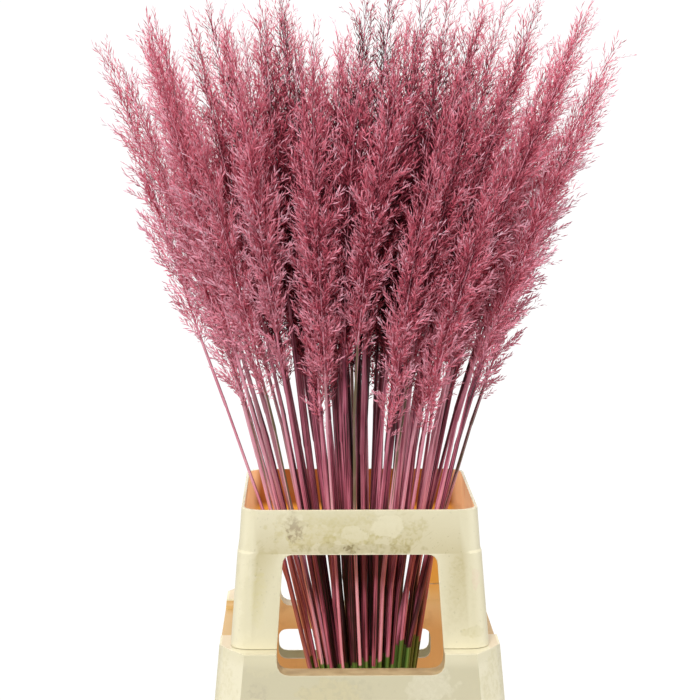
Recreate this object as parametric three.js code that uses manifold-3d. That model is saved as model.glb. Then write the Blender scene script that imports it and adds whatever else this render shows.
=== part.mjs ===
// Feather reed grass in a plastic bucket: cut stems with feathery plumes fan out of a tapered bucket, whose
// rim carries a separate windowed collar. Millimetres, +Z up, origin at the middle of the bucket's base.
import * as THREE from "three";
import { mergeVertices } from "three/addons/utils/BufferGeometryUtils.js";
import Module from "manifold-3d";

const wasm = await Module();
wasm.setup();

// Bucket: half sizes along X and Y, and heights above the surface that it stands on.
const BUCKET_HEIGHT = 200;
const WALL = 3;
const BASE_HALF = { x: 98, y: 120 };
const MOUTH_HALF = { x: 120, y: 141 };
const RIM_HALF = { x: 136, y: 166 };
const SKIRT_FLARE = { x: 8, y: 7.5 };
const SKIRT_BOTTOM = 110;
const BODY_CORNER = { x: 24, y: 24, round: 1 };
const RIM_CORNER = { x: 25, y: 44, round: 0.12 };
const END_DIP = { half: 80, depth: 20, corner: 13 };
const SIDE_DIP = { half: 83, depth: 10, corner: 8 };
const HAND_SLOT = { half: 82, bottom: 123.5, top: 155, corner: 10 };

// Collar: a tapered frame that stands on the rim, with a spigot down inside the bucket's mouth.
const COLLAR_TOP = 332;
const COLLAR_FOOT_HALF = { x: 125, y: 146 };
const COLLAR_TOP_HALF = { x: 114.5, y: 125 };
const COLLAR_CORNER = { x: 20, y: 20, round: 1 };
const COLLAR_STEP = { height: 292, out: 0.5, band: 1.6 };
const SPIGOT = { depth: 14, play: 0.7, shelf: 3 };
const WINDOW = { footHalf: 80, topHalf: 74, top: 289.5, corner: 9.5 };
const GAP = 0.3;

// Bunch: the stems stand in pairs on a disc at the bucket's floor and fan out with height.
const PAIRS = 42;
const BUNCH_RADIUS = 33;
const BUNCH_LEAN = { start: 14, slope: -0.074, square: 8e-5 };
const SPREAD = { linear: 0.0833, square: 3.57e-4, cube: -1.03e-7, depthShare: 0.84 };
const TWIST = THREE.MathUtils.degToRad(12);
const TALLEST = 845;
const EDGE_DROP = 42;
const FRONT_DROP = 34;
const LENGTH_VARIATION = 88;
const EASING_ROUNDS = 80;

// Stem and plume: a slim core of a few tiers, each of whose faces stands out as a pointed sprig.
const STEM_RADIUS = 2.6;
const STEM_BOTTOM = WALL + 0.4;
const FOOT_SPACING = 1.8;
const STEM_LEVELS = [36, 190, 340];
const SIDES = 3;
const PLUME_LENGTH = { least: 280, most: 330, leanLoss: 0.09 };
const CORE_RADIUS = 3.2;
const CORE_TIP_RADIUS = 1.6;
const TIERS = 9;
const TIER_TURN = THREE.MathUtils.degToRad(76);
const SPRIG = { reach: 30, rise: 1.35, variation: 0.3, clearance: 0.5 };
const SEED = 20250613;

const COLOURS = { plastic: 0xe2dabb, grass: 0xa8475f };

// Seeded random numbers from 0 to 1, each worked out from the last one drawn.
let drawn = SEED;
function draw() {
  drawn = (drawn * 16807) % 2147483647;
  return drawn / 2147483647;
}

function solidOf(positions, triangles) {
  const vertProperties = new Float32Array(positions.flatMap((point) => point.toArray()));
  const triVerts = new Uint32Array(triangles.flat());
  return new wasm.Manifold(new wasm.Mesh({ numProp: 3, vertProperties, triVerts }));
}

function solidOfGeometry(geometry) {
  geometry.deleteAttribute("normal");
  geometry.deleteAttribute("uv");
  const merged = mergeVertices(geometry, 1e-4);
  const vertProperties = new Float32Array(merged.attributes.position.array);
  const triVerts = new Uint32Array(merged.index.array);
  return new wasm.Manifold(new wasm.Mesh({ numProp: 3, vertProperties, triVerts }));
}

function meshOf(name, solid, colour) {
  const { numProp, vertProperties, triVerts } = solid.getMesh();
  const geometry = new THREE.BufferGeometry();
  const interleaved = new THREE.InterleavedBuffer(vertProperties, numProp);
  geometry.setAttribute("position", new THREE.InterleavedBufferAttribute(interleaved, 3, 0));
  geometry.setIndex(new THREE.BufferAttribute(triVerts, 1));
  const material = new THREE.MeshStandardMaterial({ color: colour, roughness: 0.6, metalness: 0 });
  const mesh = new THREE.Mesh(geometry, material);
  mesh.name = name;
  return mesh;
}

// One level of a box-like wall: a rectangle whose four corners are cut, straight or round, from the front
// right corner round to the left.
const CORNER_POINTS = 5;
const CORNERS = [
  [1, 1],
  [-1, 1],
  [-1, -1],
  [1, -1],
];
function section(half, corner, z) {
  return CORNERS.flatMap(([sideX, sideY]) => {
    const points = [];
    for (let i = 0; i < CORNER_POINTS; i++) {
      const turn = i / (CORNER_POINTS - 1);
      const angle = (turn * Math.PI) / 2;
      const insetX = corner.x * THREE.MathUtils.lerp(turn, 1 - Math.cos(angle), corner.round);
      const insetY = corner.y * THREE.MathUtils.lerp(1 - turn, 1 - Math.sin(angle), corner.round);
      points.push(new THREE.Vector3(sideX * (half.x - insetX), sideY * (half.y - insetY), z));
    }
    return sideX * sideY > 0 ? points : points.reverse();
  });
}

// A wall through a run of levels. A closed run joins its last level to its first, an open one is capped.
function loft(levels, closedRun) {
  const count = levels[0].length;
  const triangles = [];
  const bands = closedRun ? levels.length : levels.length - 1;
  for (let level = 0; level < bands; level++) {
    const low = level * count;
    const high = ((level + 1) % levels.length) * count;
    for (let i = 0; i < count; i++) {
      const next = (i + 1) % count;
      triangles.push([low + i, low + next, high + next], [low + i, high + next, high + i]);
    }
  }
  const last = (levels.length - 1) * count;
  for (let i = 1; !closedRun && i < count - 1; i++) {
    triangles.push([0, i + 1, i], [last, last + i, last + i + 1]);
  }
  return solidOf(levels.flat(), triangles);
}

function between(low, high, share) {
  return {
    x: THREE.MathUtils.lerp(low.x, high.x, share),
    y: THREE.MathUtils.lerp(low.y, high.y, share),
  };
}

function grown(half, by) {
  return { x: half.x + (by.x ?? by), y: half.y + (by.y ?? by) };
}

// A cutter or a liner: an outline in X and Z with rounded corners, given as [x, z, corner], that runs from
// one Y to another, or from one X to another when it is turned to a side.
function throughPrism(corners, from, to, sideways = false) {
  const shape = new THREE.Shape();
  corners.forEach(([x, z, size = 0], i) => {
    const here = new THREE.Vector2(x, z);
    const [beforeX, beforeZ] = corners.at(i - 1);
    const [afterX, afterZ] = corners[(i + 1) % corners.length];
    const start = new THREE.Vector2(beforeX, beforeZ).sub(here).setLength(size).add(here);
    const end = new THREE.Vector2(afterX, afterZ).sub(here).setLength(size).add(here);
    if (i === 0) shape.moveTo(start.x, start.y);
    else shape.lineTo(start.x, start.y);
    if (size > 0) shape.quadraticCurveTo(here.x, here.y, end.x, end.y);
  });
  shape.closePath();
  const geometry = new THREE.ExtrudeGeometry(shape, {
    depth: to - from,
    bevelEnabled: false,
    curveSegments: 4,
  });
  geometry.rotateX(Math.PI / 2);
  geometry.translate(0, to, 0);
  if (sideways) geometry.rotateZ(-Math.PI / 2);
  return solidOfGeometry(geometry);
}

function joined(solids) {
  return solids.reduce((whole, solid) => whole.add(solid));
}

// Bucket: a tapered body, a flat rim round its mouth and a flared skirt under the rim's edge. The rim dips
// low at the front and back and a little at the sides, and hand slots pass through the skirt and the body.
function dipOutline({ half, depth, corner }, outset) {
  const floor = BUCKET_HEIGHT - depth - outset;
  const top = outset ? BUCKET_HEIGHT - WALL / 2 : BUCKET_HEIGHT + WALL;
  const side = half + outset;
  return [
    [-side, top],
    [-side, floor, corner],
    [side, floor, corner],
    [side, top],
  ];
}

function bucketSolid() {
  const skirtHalf = grown(RIM_HALF, SKIRT_FLARE);
  const mouthOuter = grown(MOUTH_HALF, WALL);
  const shell = loft(
    [
      section(BASE_HALF, BODY_CORNER, 0),
      section(mouthOuter, BODY_CORNER, BUCKET_HEIGHT - WALL),
      section(grown(RIM_HALF, -WALL), RIM_CORNER, BUCKET_HEIGHT - WALL),
      section(grown(skirtHalf, -WALL), RIM_CORNER, SKIRT_BOTTOM),
      section(skirtHalf, RIM_CORNER, SKIRT_BOTTOM),
      section(RIM_HALF, RIM_CORNER, BUCKET_HEIGHT),
      section(MOUTH_HALF, BODY_CORNER, BUCKET_HEIGHT),
      section(grown(BASE_HALF, -WALL), BODY_CORNER, WALL),
    ],
    false,
  );
  const inside = { x: MOUTH_HALF.x + WALL / 4, y: MOUTH_HALF.y };
  const outside = { x: RIM_HALF.x - WALL / 3, y: RIM_HALF.y - WALL / 6 };
  const endLiner = dipOutline(END_DIP, WALL);
  const sideLiner = dipOutline(SIDE_DIP, WALL);
  const liners = joined([
    throughPrism(endLiner, inside.y, outside.y),
    throughPrism(endLiner, -outside.y, -inside.y),
    throughPrism(sideLiner, inside.x, outside.x, true),
    throughPrism(sideLiner, -outside.x, -inside.x, true),
  ]);
  const slot = [
    [-HAND_SLOT.half, HAND_SLOT.top, HAND_SLOT.corner],
    [-HAND_SLOT.half, HAND_SLOT.bottom, HAND_SLOT.corner],
    [HAND_SLOT.half, HAND_SLOT.bottom, HAND_SLOT.corner],
    [HAND_SLOT.half, HAND_SLOT.top, HAND_SLOT.corner],
  ];
  const reach = 2 * RIM_HALF.y;
  const cuts = joined([
    throughPrism(dipOutline(END_DIP, 0), -reach, reach),
    throughPrism(dipOutline(SIDE_DIP, 0), -reach, reach, true),
    throughPrism(slot, -reach, reach),
  ]);
  return shell.add(liners).subtract(cuts);
}

// Collar: four legs joined by a band at the top. The windows at the front and back are open at the foot.
function collarSolid() {
  const foot = BUCKET_HEIGHT + GAP;
  const wallAt = (z) => {
    const share = (z - foot) / (COLLAR_TOP - foot);
    return between(COLLAR_FOOT_HALF, COLLAR_TOP_HALF, share);
  };
  const { height, out, band } = COLLAR_STEP;
  const spigotHalf = grown(MOUTH_HALF, -SPIGOT.play);
  const spigotLow = grown(spigotHalf, -SPIGOT.play * 2);
  const shelfTop = foot + SPIGOT.shelf;
  const frame = loft(
    [
      section(spigotHalf, BODY_CORNER, foot),
      section(wallAt(foot), COLLAR_CORNER, foot),
      section(grown(wallAt(height - band), out), COLLAR_CORNER, height - band),
      section(grown(wallAt(height), -out), COLLAR_CORNER, height),
      section(COLLAR_TOP_HALF, COLLAR_CORNER, COLLAR_TOP),
      section(grown(COLLAR_TOP_HALF, -WALL), COLLAR_CORNER, COLLAR_TOP),
      section(grown(wallAt(shelfTop), -WALL), COLLAR_CORNER, shelfTop),
      section(grown(spigotHalf, -WALL), BODY_CORNER, shelfTop),
      section(grown(spigotLow, -WALL), BODY_CORNER, foot - SPIGOT.depth),
      section(spigotLow, BODY_CORNER, foot - SPIGOT.depth),
    ],
    true,
  );
  const { footHalf, topHalf, top, corner } = WINDOW;
  const below = foot - 2 * SPIGOT.depth;
  const slope = (topHalf - footHalf) / (top - foot);
  const lowHalf = footHalf + slope * (below - foot);
  const window = [
    [-topHalf, top, corner],
    [-lowHalf, below],
    [lowHalf, below],
    [topHalf, top, corner],
  ];
  const reach = 2 * COLLAR_FOOT_HALF.y;
  return frame.subtract(throughPrism(window, -reach, reach));
}

// Places on the disc at the floor: pairs on a sunflower spiral, each split in two, then all eased apart.
function bunchSites() {
  const sites = [];
  const golden = Math.PI * (3 - Math.sqrt(5));
  const pitch = BUNCH_RADIUS * Math.sqrt((2 * Math.PI) / (Math.sqrt(3) * 2 * PAIRS));
  for (let pair = 0; pair < PAIRS; pair++) {
    const distance = (BUNCH_RADIUS - pitch / 3) * Math.sqrt((pair + 0.5) / PAIRS);
    const angle = pair * golden;
    const split = draw() * Math.PI;
    for (const side of [-1, 1]) {
      const along = (side * pitch) / 2;
      sites.push({
        x: distance * Math.cos(angle) + along * Math.cos(split),
        y: distance * Math.sin(angle) + along * Math.sin(split),
      });
    }
  }
  for (let round = 0; round < EASING_ROUNDS; round++) {
    easeApart(sites, pitch);
  }
  return sites;
}

function easeApart(sites, pitch) {
  for (let i = 0; i < sites.length; i++) {
    for (let j = i + 1; j < sites.length; j++) {
      const dx = sites[j].x - sites[i].x;
      const dy = sites[j].y - sites[i].y;
      const distance = Math.sqrt(dx * dx + dy * dy);
      if (distance >= pitch) continue;
      const push = (pitch - distance) / distance / 4;
      sites[i].x -= dx * push;
      sites[i].y -= dy * push;
      sites[j].x += dx * push;
      sites[j].y += dy * push;
    }
  }
  for (const site of sites) {
    const distance = Math.sqrt(site.x * site.x + site.y * site.y);
    const pull = Math.min(1, BUNCH_RADIUS / distance);
    site.x *= pull;
    site.y *= pull;
  }
}

// How far a place on the disc has moved out and round by a height.
function fanAt(z) {
  const growth = SPREAD.linear * z + SPREAD.square * z ** 2 + SPREAD.cube * z ** 3;
  const turn = (TWIST * z) / TALLEST;
  return {
    x: 1 + growth / BUNCH_RADIUS,
    y: 1 + (SPREAD.depthShare * growth) / BUNCH_RADIUS,
    cos: Math.cos(turn),
    sin: Math.sin(turn),
  };
}

function turned({ x, y }, fan) {
  return { x: x * fan.cos - y * fan.sin, y: x * fan.sin + y * fan.cos };
}

function axisAt(site, z) {
  const fan = fanAt(z);
  const place = turned(site, fan);
  const middle = BUNCH_LEAN.start + BUNCH_LEAN.slope * z + BUNCH_LEAN.square * z ** 2;
  return new THREE.Vector3(middle + fan.x * place.x, fan.y * place.y, z);
}

function growStems() {
  return bunchSites().map((site) => {
    const edge = (site.x * site.x + site.y * site.y) / (BUNCH_RADIUS * BUNCH_RADIUS);
    const front = Math.max(0, -site.y / BUNCH_RADIUS);
    const tip = TALLEST - EDGE_DROP * edge - FRONT_DROP * front - LENGTH_VARIATION * draw() ** 1.5;
    const length = THREE.MathUtils.lerp(PLUME_LENGTH.least, PLUME_LENGTH.most, draw());
    const height = length * (1 - PLUME_LENGTH.leanLoss * edge);
    return { site, tip, base: tip - height, turn: draw() * Math.PI };
  });
}

// The share of a sprig's reach that stays on its own stem's side of the halfway line to every neighbour. A
// neighbour that is only a bare stem at that height leaves more room, and one that ends lower leaves it all.
function roomFor(stem, stems, foot, apexHeight, sideways) {
  const fan = fanAt(apexHeight);
  const here = axisAt(stem.site, apexHeight);
  let share = 1;
  for (const other of stems) {
    if (other === stem || other.tip < foot) continue;
    const line = turned({ x: other.site.x - stem.site.x, y: other.site.y - stem.site.y }, fan);
    const normal = new THREE.Vector3(line.x / fan.x, line.y / fan.y, 0).normalize();
    const toOther = axisAt(other.site, apexHeight).sub(here).dot(normal);
    const bare = other.base > apexHeight;
    const limit = bare ? toOther - STEM_RADIUS - CORE_RADIUS : toOther / 2;
    const outward = sideways.dot(normal);
    if (outward > 0) share = Math.min(share, (limit - SPRIG.clearance) / outward);
  }
  return share;
}

// How far the sprigs stand out along a plume, from its base at 0 to its tip at 1.
function plumeShape(along) {
  return Math.sin(Math.PI * (0.18 + 0.8 * along)) ** 0.9;
}

function levelOf(stem, z, radius, turn) {
  const centre = axisAt(stem.site, z);
  return Array.from({ length: SIDES }, (_, i) => {
    const angle = turn + (2 * Math.PI * i) / SIDES;
    const around = new THREE.Vector3(Math.cos(angle), Math.sin(angle), 0);
    return centre.clone().addScaledVector(around, radius);
  });
}

// One stem with its plume. Every face of the plume's core becomes three faces that meet at a sprig's point.
function stemSolid(stem, footCentre, stems) {
  const points = [];
  const triangles = [];
  const foot = levelOf(stem, STEM_BOTTOM, STEM_RADIUS, stem.turn);
  const shift = footCentre.clone().sub(axisAt(stem.site, STEM_BOTTOM));
  points.push(...foot.map((point) => point.add(shift)));
  for (const z of [...STEM_LEVELS, stem.base]) {
    points.push(...levelOf(stem, z, STEM_RADIUS, stem.turn));
  }
  const bands = STEM_LEVELS.length + 1;
  for (let band = 0; band < bands; band++) {
    for (let i = 0; i < SIDES; i++) {
      const low = band * SIDES + i;
      const next = band * SIDES + ((i + 1) % SIDES);
      triangles.push([low, next, next + SIDES], [low, next + SIDES, low + SIDES]);
    }
  }
  for (let i = 1; i < SIDES - 1; i++) triangles.push([0, i + 1, i]);

  const core = [];
  const plumeLength = stem.tip - stem.base;
  for (let tier = 1; tier < TIERS; tier++) {
    const low = points.length - SIDES;
    const along = tier / TIERS;
    const radius = THREE.MathUtils.lerp(CORE_RADIUS, CORE_TIP_RADIUS, along);
    const turn = stem.turn + tier * TIER_TURN;
    points.push(...levelOf(stem, stem.base + along * plumeLength, radius, turn));
    for (let i = 0; i < SIDES; i++) {
      const next = (i + 1) % SIDES;
      core.push([low + i, low + next, low + SIDES + i]);
      core.push([low + next, low + SIDES + next, low + SIDES + i]);
    }
  }
  const top = points.length;
  points.push(axisAt(stem.site, stem.tip));
  for (let i = 0; i < SIDES; i++) {
    core.push([top - SIDES + i, top - SIDES + ((i + 1) % SIDES), top]);
  }
  for (const [a, b, c] of core) {
    const middle = points[a].clone().add(points[b]).add(points[c]).divideScalar(3);
    const apex = points.length;
    points.push(sprigPoint(stem, stems, middle, Math.min(points[a].z, points[b].z, points[c].z)));
    triangles.push([a, b, apex], [b, c, apex], [c, a, apex]);
  }
  return solidOf(points, triangles);
}

function sprigPoint(stem, stems, middle, footHeight) {
  const along = (middle.z - stem.base) / (stem.tip - stem.base);
  const length = SPRIG.reach * plumeShape(along) * (1 - SPRIG.variation * draw());
  const outward = middle.clone().sub(axisAt(stem.site, middle.z)).normalize();
  const reached = outward.clone().multiplyScalar(length);
  let share = 1;
  for (let pass = 0; pass < 2; pass++) {
    const apexHeight = middle.z + SPRIG.rise * length * share;
    share = Math.min(share, roomFor(stem, stems, footHeight, apexHeight, reached));
  }
  const height = middle.z + SPRIG.rise * length * share;
  return axisAt(stem.site, height).addScaledVector(reached, share);
}

// Two neighbouring stems whose feet lean together, where they are one body.
function grassPair(pair, stems) {
  const both = [stems[2 * pair], stems[2 * pair + 1]];
  const feet = both.map((stem) => axisAt(stem.site, STEM_BOTTOM));
  const middle = feet[0].clone().lerp(feet[1], 0.5);
  const parts = both.map((stem, i) => {
    const apart = feet[i].clone().sub(middle).setLength(FOOT_SPACING / 2);
    return stemSolid(stem, middle.clone().add(apart), stems);
  });
  return joined(parts);
}

const stems = growStems();
const holder = new THREE.Group();
holder.add(meshOf("bucket", bucketSolid(), COLOURS.plastic));
holder.add(meshOf("collar", collarSolid(), COLOURS.plastic));
const bunch = new THREE.Group();
for (let pair = 0; pair < PAIRS; pair++) {
  const name = `grass_${String(pair + 1).padStart(2, "0")}`;
  bunch.add(meshOf(name, grassPair(pair, stems), COLOURS.grass));
}
const root = new THREE.Group();
root.add(holder, bunch);

export default root;
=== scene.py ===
# %% [markdown]
# # Dyed feather reed grass in a bucket with a windowed collar
#
# The real object is a sheaf of about 84 cut grass stems, dyed a dusty mauve-pink, that stand loose in an
# ivory plastic bucket. A tapered collar with a window at the front and the back stands on the bucket's rim
# and keeps the stems upright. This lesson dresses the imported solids: it gives the two mouldings soft edges,
# stains and warm insides, and grows every stem with its feathery plume.
#
# The first cell loads the frame. Everything after it is placed in that frame, in metres, with +Z up.

import math

import bmesh
import bpy
from mathutils import Matrix, Vector


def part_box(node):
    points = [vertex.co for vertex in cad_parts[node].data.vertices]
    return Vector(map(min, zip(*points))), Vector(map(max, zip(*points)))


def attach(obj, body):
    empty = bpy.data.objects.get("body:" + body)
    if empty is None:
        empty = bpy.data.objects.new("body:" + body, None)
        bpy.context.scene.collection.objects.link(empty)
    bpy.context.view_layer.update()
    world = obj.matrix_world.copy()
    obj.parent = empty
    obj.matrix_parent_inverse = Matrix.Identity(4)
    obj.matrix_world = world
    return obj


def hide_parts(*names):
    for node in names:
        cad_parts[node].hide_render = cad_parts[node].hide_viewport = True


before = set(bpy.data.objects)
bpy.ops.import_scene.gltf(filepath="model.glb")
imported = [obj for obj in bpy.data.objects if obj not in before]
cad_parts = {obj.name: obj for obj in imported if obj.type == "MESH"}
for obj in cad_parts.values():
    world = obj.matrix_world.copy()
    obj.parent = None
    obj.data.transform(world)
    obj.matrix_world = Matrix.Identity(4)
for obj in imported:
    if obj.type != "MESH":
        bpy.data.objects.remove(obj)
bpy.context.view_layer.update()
MM = 0.001
RIM_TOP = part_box("bucket")[1].z
COLLAR_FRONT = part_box("collar")[0].y
COLLAR_SIDE, _, COLLAR_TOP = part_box("collar")[1]

# %% [markdown]
# ## Camera
#
# The photograph was taken with a long lens from far away, looking slightly down, so the collar's sides are
# nearly parallel in it. The lens and its place were fitted to the corners of the collar and the rim.

# %% Place the camera
SENSOR_WIDTH = 36.0
FOCAL_PIXELS = 2370.0
PICTURE_PIXELS = 700.0
CAMERA_PLACE = (-0.0491, -2.3735, 0.7378)
LOOKS_DOWN = math.radians(6.365)
LOOKS_RIGHT = math.radians(1.007)

lens = bpy.data.cameras.new("camera")
lens.sensor_width = SENSOR_WIDTH
lens.lens = FOCAL_PIXELS * SENSOR_WIDTH / PICTURE_PIXELS
camera = bpy.data.objects.new("camera", lens)
camera.location = CAMERA_PLACE
camera.rotation_euler = (math.pi / 2 - LOOKS_DOWN, 0, -LOOKS_RIGHT)
bpy.context.collection.objects.link(camera)
bpy.context.scene.camera = camera
print("lens:", round(lens.lens, 1), "mm")

# %% [markdown]
# ## Materials by nodes
#
# A material here is a small network: a pattern, a ramp that turns the pattern into a colour, and the shader.
# Helpers keep those networks short: `node` adds one node and fills its sockets, `ramp` adds a colour ramp,
# `share` makes a soft mask, `mixed` lays one colour over another by a mask, and `connect` gives the results
# to the shader. Colours are written as the eye reads them, in hex, and changed to linear light.

# %% Helpers for materials
def linear(colour):
    """The linear colour of a hex one. A linear colour or an output stays as it is."""
    if not isinstance(colour, str):
        return colour
    parts = [int(colour[i:i + 2], 16) / 255 for i in (1, 3, 5)]
    return tuple(p / 12.92 if p <= 0.04045 else ((p + 0.055) / 1.055) ** 2.4 for p in parts) + (1.0,)


def new_material(name, **shader_values):
    """A material with only a Principled shader in it, and that shader."""
    material = bpy.data.materials.new(name)
    material.use_nodes = True
    shader = material.node_tree.nodes["Principled BSDF"]
    for socket, value in shader_values.items():
        shader.inputs[socket.replace("_", " ")].default_value = value
    return material, shader


def connect(material, shader, **outputs):
    for socket, output in outputs.items():
        material.node_tree.links.new(output, shader.inputs[socket.replace("_", " ")])


def node(material, kind, inputs=None, **settings):
    """Adds a node to a material or world. An input is a value, or another node's output to link."""
    made = material.node_tree.nodes.new("ShaderNode" + kind)
    for setting, value in settings.items():
        setattr(made, setting, value)
    for socket, value in (inputs or {}).items():
        if isinstance(value, bpy.types.NodeSocket):
            material.node_tree.links.new(value, made.inputs[socket])
        else:
            made.inputs[socket].default_value = value
    return made


def ramp(material, factor, stops):
    """A colour ramp over a factor. Stops are pairs of a place from 0 to 1 and a colour, hex or linear."""
    made = node(material, "ValToRGB", {"Fac": factor})
    elements = made.color_ramp.elements
    while len(elements) < len(stops):
        elements.new(0.5)
    for element, (place, colour) in zip(elements, stops):
        element.position = place
        element.color = linear(colour)
    return made.outputs["Color"]


def share(material, factor, low, high):
    """Turns a factor into a soft mask that rises from 0 at low to 1 at high."""
    made = node(material, "MapRange", {"Value": factor, "From Min": low, "From Max": high})
    made.interpolation_type = "SMOOTHSTEP"
    return made.outputs["Result"]


def maths(material, operation, first, second):
    made = node(material, "Math", {0: first, 1: second}, operation=operation)
    return made.outputs["Value"]


def absolute(material, value):
    return maths(material, "ABSOLUTE", value, 0.0)


def product(material, first, *others):
    """Multiplies masks."""
    for other in others:
        first = maths(material, "MULTIPLY", first, other)
    return first


def mixed(material, factor, first, second):
    """Mixes two colours by a factor. A colour is hex, linear or an output."""
    inputs = {0: factor, 6: linear(first), 7: linear(second)}
    return node(material, "Mix", inputs, data_type="RGBA").outputs[2]


def noise_on(material, vector, scale, detail=2.0, stretch=None, distortion=0.0):
    """Noise on a vector, which may be stretched first."""
    if stretch:
        vector = node(material, "Mapping", {"Vector": vector, "Scale": stretch}).outputs["Vector"]
    values = {"Vector": vector, "Scale": scale, "Detail": detail, "Distortion": distortion}
    return node(material, "TexNoise", values).outputs["Fac"]


def swing(material, noise, reach):
    """Noise that swings about 0 instead of 0.5, times a reach."""
    return maths(material, "MULTIPLY", maths(material, "SUBTRACT", noise, 0.5), reach)


def object_coordinates(material):
    return node(material, "TexCoord").outputs["Object"]


def parts_of(material, vector):
    """The X, Y and Z of a vector, each an output."""
    return node(material, "SeparateXYZ", {"Vector": vector}).outputs


def looks_to(material):
    """The X, Y and Z of the way that a face looks."""
    return parts_of(material, node(material, "NewGeometry").outputs["Normal"])


# %% [markdown]
# ## Light
#
# The photograph is a bright studio shot on pure white, lit from the front and above by broad soft lamps. The
# gaps between the stems and plumes are dark, so the light that comes from everywhere has to stay weak. The
# world is therefore white where the camera sees it, and dimmer as a light, most of all in front of the
# object. Five broad suns do the rest: they light everything evenly, which area lamps nearby wouldn't.

# %% Light the studio
WORLD_SEEN = 1.05
WORLD_LIGHT = {"front": 0.2, "wall": 0.75}
# Where the world's light starts to rise and is full, along Y on a ball round the object.
WALL_STARTS = -0.4
WALL_FULL = 0.7
# How far round from the front to the left, how high and how broad, in degrees, and how strong.
SUNS = {
    "key": (16, 32, 12, 2.8),
    "left": (88, 20, 40, 1.25),
    "right": (-88, 20, 40, 1.8),
    "above": (-20, 76, 60, 0.9),
    "back": (172, 46, 60, 1.2),
}


def add_sun(name, around, high, broad, strength):
    light = bpy.data.lights.new(name, "SUN")
    light.energy = strength
    light.angle = math.radians(broad)
    sun = bpy.data.objects.new(name, light)
    turn, lift = math.radians(around), math.radians(high)
    towards = Vector((-math.sin(turn) * math.cos(lift), -math.cos(turn) * math.cos(lift), math.sin(lift)))
    sun.rotation_euler = towards.to_track_quat("Z", "Y").to_euler()
    sun.location = towards * 3
    bpy.context.collection.objects.link(sun)


for name, sun in SUNS.items():
    add_sun(name, *sun)
world = bpy.data.worlds.new("studio")
world.use_nodes = True
towards = parts_of(world, node(world, "TexCoord").outputs["Generated"])
wall = node(world, "MapRange", {
    "Value": towards["Y"], "From Min": WALL_STARTS, "From Max": WALL_FULL,
    "To Min": WORLD_LIGHT["front"], "To Max": WORLD_LIGHT["wall"],
})
ray = node(world, "LightPath").outputs["Is Camera Ray"]
seen_or_lit = {"Value": ray, "To Min": wall.outputs["Result"], "To Max": WORLD_SEEN}
strength = node(world, "MapRange", seen_or_lit).outputs["Result"]
background = world.node_tree.nodes["Background"]
background.inputs["Color"].default_value = (1, 1, 1, 1)
world.node_tree.links.new(strength, background.inputs["Strength"])
bpy.context.scene.world = world
bpy.context.scene.view_settings.view_transform = "Standard"
print("suns:", ", ".join(SUNS))

# %% [markdown]
# ## Floor
#
# The floor is a pale disc that carries the object's soft shadow. Towards its edge it fades away into the
# white world, as a studio's paper sweep does, so the white background starts close behind the bucket.

# %% Make the floor
FLOOR_RADIUS = 0.42
FLOOR_FADES_FROM = 0.2
floor_material, floor_shader = new_material("studio_floor", Roughness=0.9, Base_Color=linear("#F4F4F4"))
from_middle = node(floor_material, "VectorMath", {0: object_coordinates(floor_material)}, operation="LENGTH")
solid = share(floor_material, from_middle.outputs["Value"], FLOOR_RADIUS, FLOOR_FADES_FROM)
connect(floor_material, floor_shader, Alpha=solid)
floor_bm = bmesh.new()
bmesh.ops.create_circle(floor_bm, cap_ends=True, segments=96, radius=FLOOR_RADIUS)
floor_mesh = bpy.data.meshes.new("floor")
floor_bm.to_mesh(floor_mesh)
floor_bm.free()
floor_mesh.materials.append(floor_material)
floor = bpy.data.objects.new("floor", floor_mesh)
bpy.context.collection.objects.link(floor)
print("floor:", 2 * FLOOR_RADIUS, "m across")

# %% [markdown]
# ## The mouldings' outer finish
#
# The bucket and its collar are old ivory plastic. Their faces are satin, with olive and brown stains where
# wet stems lay on them, a few yellow streaks, and fine scratches. The colours are written as they look on
# the lit front, and divided by the light that falls there.

# %% Colours of the ivory plastic
LIGHT_ON_FRONT = (1.32, 1.36, 1.48)


def as_lit(hex_colour):
    """The paint that looks like a hex colour once the studio's light falls on it."""
    seen = linear(hex_colour)
    return tuple(seen[i] / LIGHT_ON_FRONT[i] for i in range(3)) + (1.0,)


IVORY = as_lit("#D8CFAC")
IVORY_WARM = as_lit("#CFC499")
IVORY_PALE = as_lit("#E0D8BA")
# The skirt's sides and corners get painted light; its two ends are made darker.
SKIRT_SIDE_LIT = as_lit("#F6F0DC")
SKIRT_END_DARKER = as_lit("#A2976E")
GRIME = as_lit("#BDB081")
SPECK = as_lit("#948A5C")
SCRATCH = as_lit("#AFA274")
# Worn edges are paler: partly wear, partly a painted highlight along the bevels.
WORN_EDGE_HIGHLIGHT = as_lit("#F8F4DC")
LIT_THROUGH = as_lit("#B57A2C")
print("ivory paint:", [round(part, 2) for part in IVORY[:3]])

# %% [markdown]
# ### Stains
#
# A stain is a patch with a ragged edge, often only a cloud of grains. So each one is a soft ball round a real
# place on the front, with its edge moved by noise and its inside broken up by finer noise.

# %% Stains on the front
STAIN_DEPTH = 0.2
STAIN_EDGE = (1.08, 0.84)
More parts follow.
